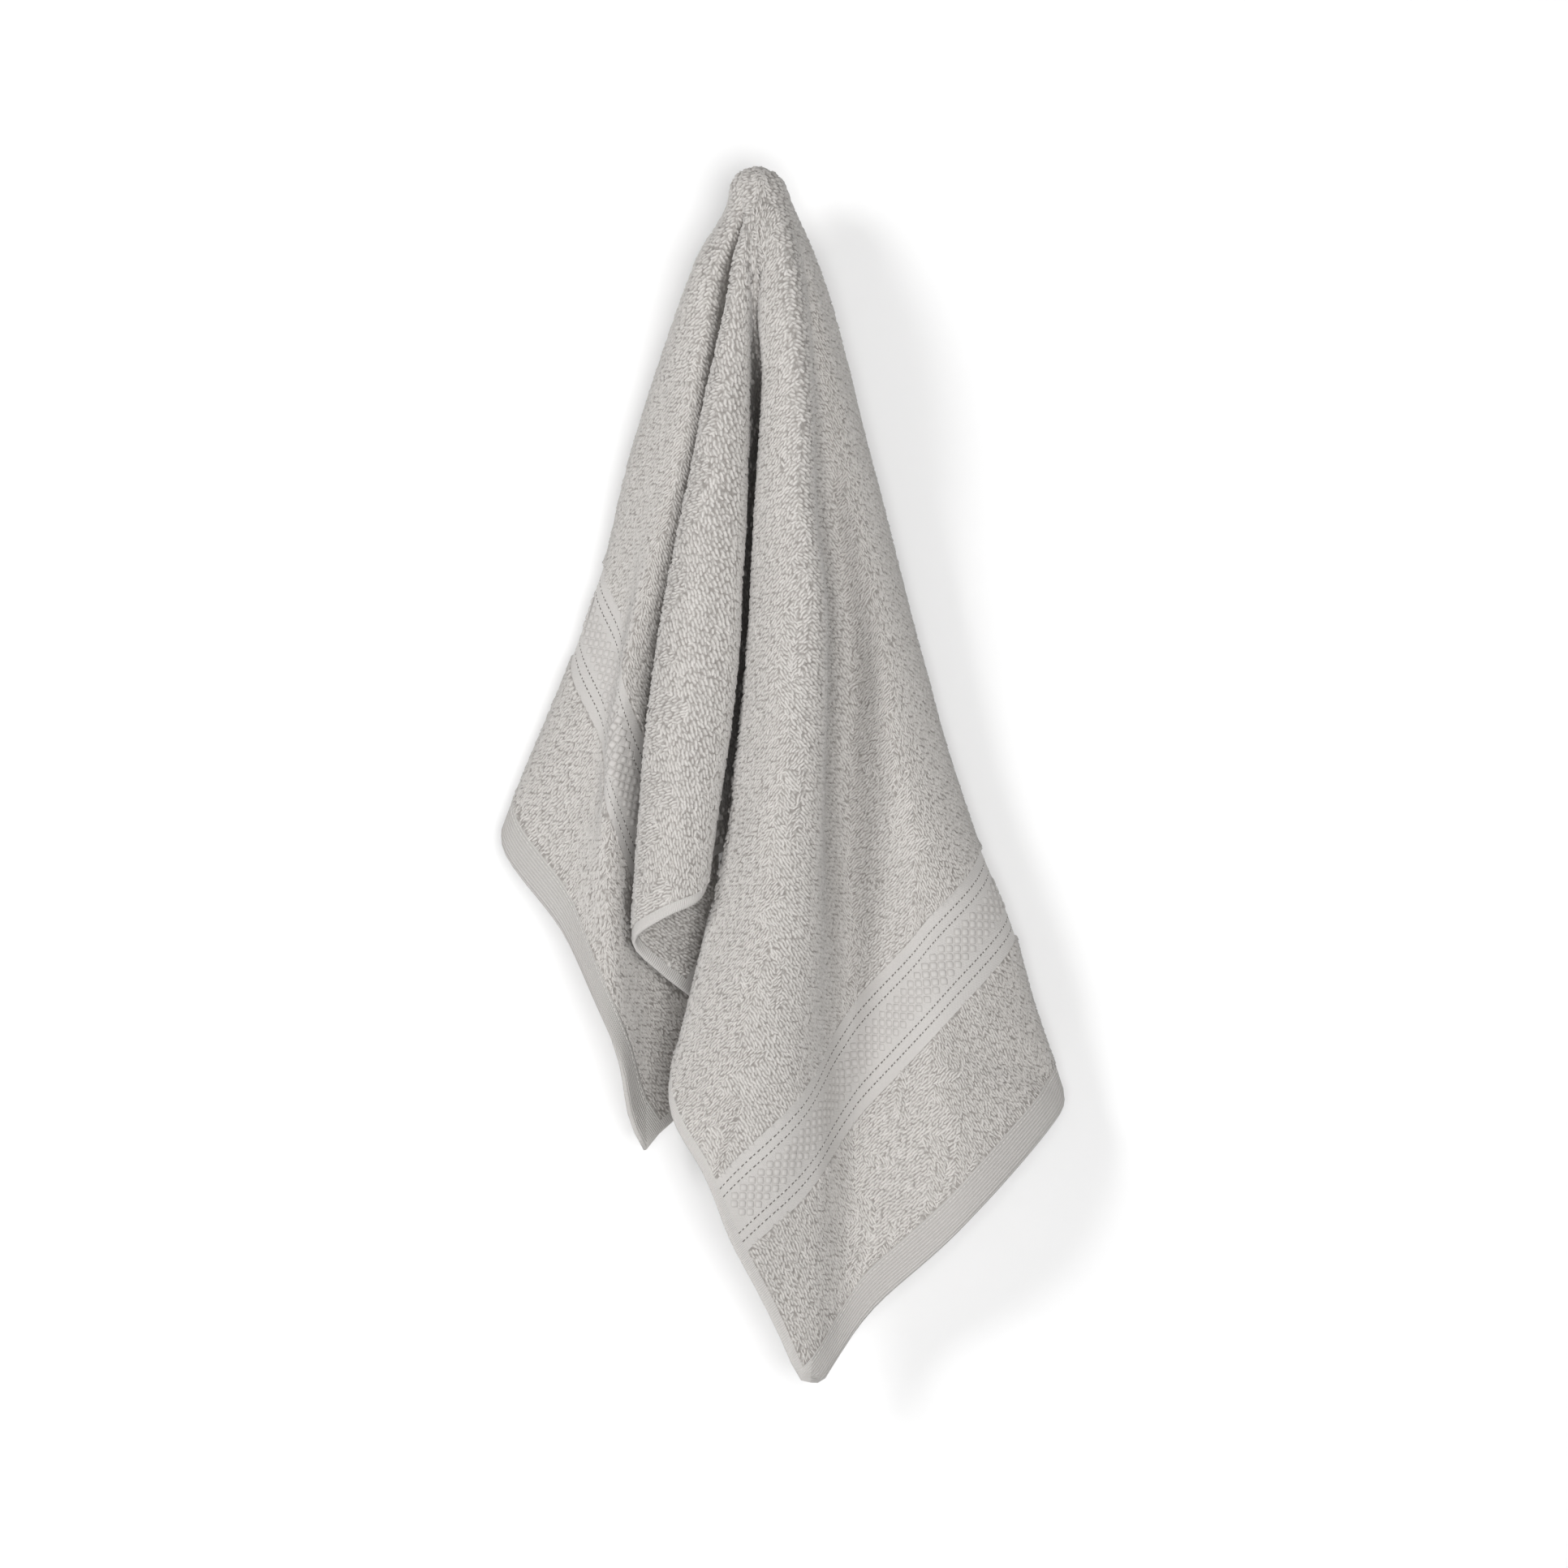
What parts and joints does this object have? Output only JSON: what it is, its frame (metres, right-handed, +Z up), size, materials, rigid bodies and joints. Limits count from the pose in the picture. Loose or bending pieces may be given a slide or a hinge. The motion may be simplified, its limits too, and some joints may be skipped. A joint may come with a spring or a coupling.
{
  "type": "hand towel",
  "caption": "Terry hand towel hung by one point, gathered at its rounded top and falling in long uneven folds to slanting hems with pointed corners.",
  "frame": {"origin": "inside face of the crown, the point where the towel hangs on what holds it", "axes": "+Z up, +Y towards the wall behind, +X to the right seen from the front"},
  "size_m": [0.2329, 0.0724, 0.5017],
  "materials": {
    "towel_cotton": "cotton terry loops with a flat woven hem and border"
  },
  "bodies": {
    "root": {"towel": "towel_cotton"}
  },
  "joints": []
}
